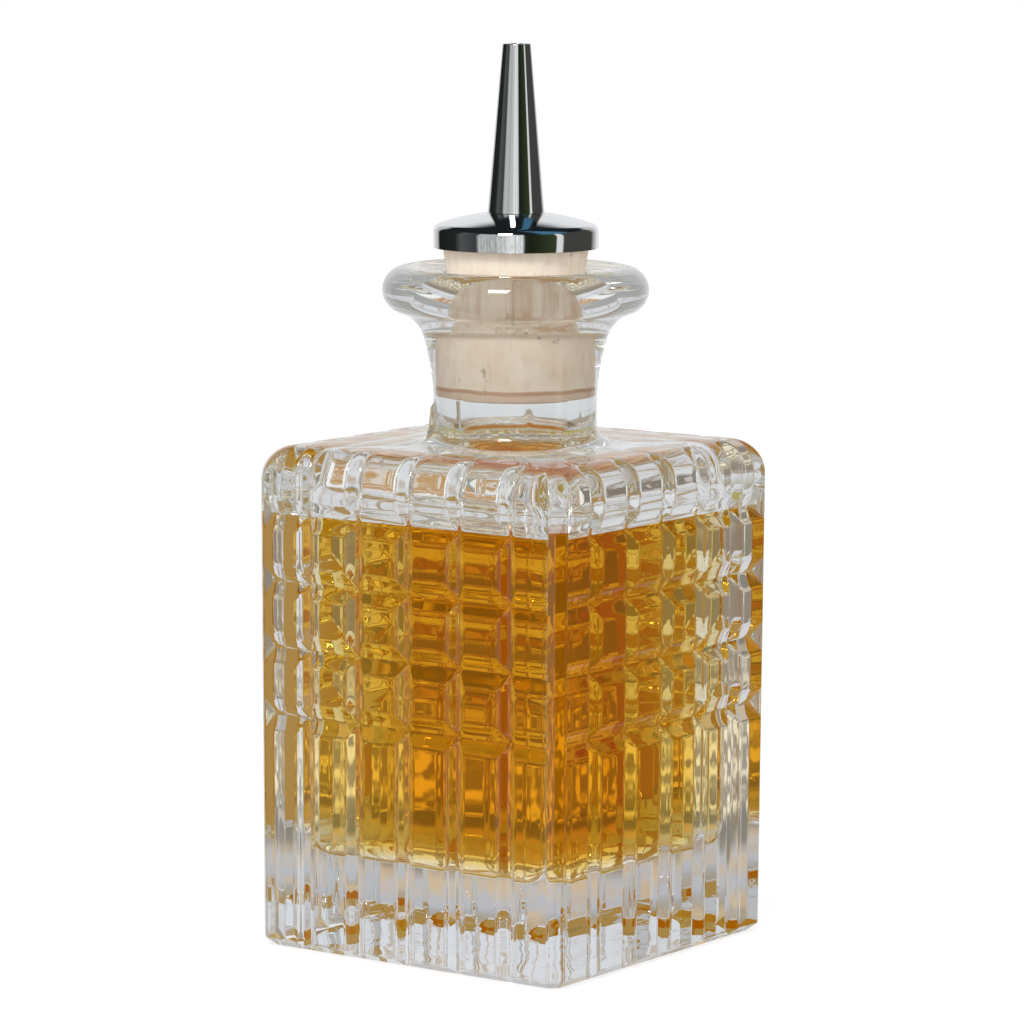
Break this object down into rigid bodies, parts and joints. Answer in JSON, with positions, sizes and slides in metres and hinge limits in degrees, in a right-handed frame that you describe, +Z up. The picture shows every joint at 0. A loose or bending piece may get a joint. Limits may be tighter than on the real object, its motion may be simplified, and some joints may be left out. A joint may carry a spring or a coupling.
{
  "type": "bitters bottle",
  "caption": "Square cut-pattern glass dash bottle with a flared neck, a tapered cork stopper and a slim chrome drip spout on a domed cap.",
  "frame": {"origin": "centre of the base, on the surface that the bottle stands on", "axes": "+Z up along the neck and the spout, -Y out of the front face, +X to the right"},
  "size_m": [0.053, 0.053, 0.1283],
  "materials": {
    "glass": "clear pressed glass",
    "cork": "fine-grained cork",
    "chrome": "bright plated",
    "steel": "turned",
    "insert": "moulded"
  },
  "bodies": {
    "bottle": {"glass_bottle": "glass"},
    "stopper": {"cork_stopper": "cork", "cap": "chrome", "spout": "chrome", "stem_tube": "steel", "clamp_washer": "steel", "dash_insert": "insert"}
  },
  "joints": [
    {"name": "stopper_lift", "type": "slide", "parent": "bottle", "child": "stopper", "axis": [0, 0, 1], "range_m": [0, 0.03]}
  ]
}
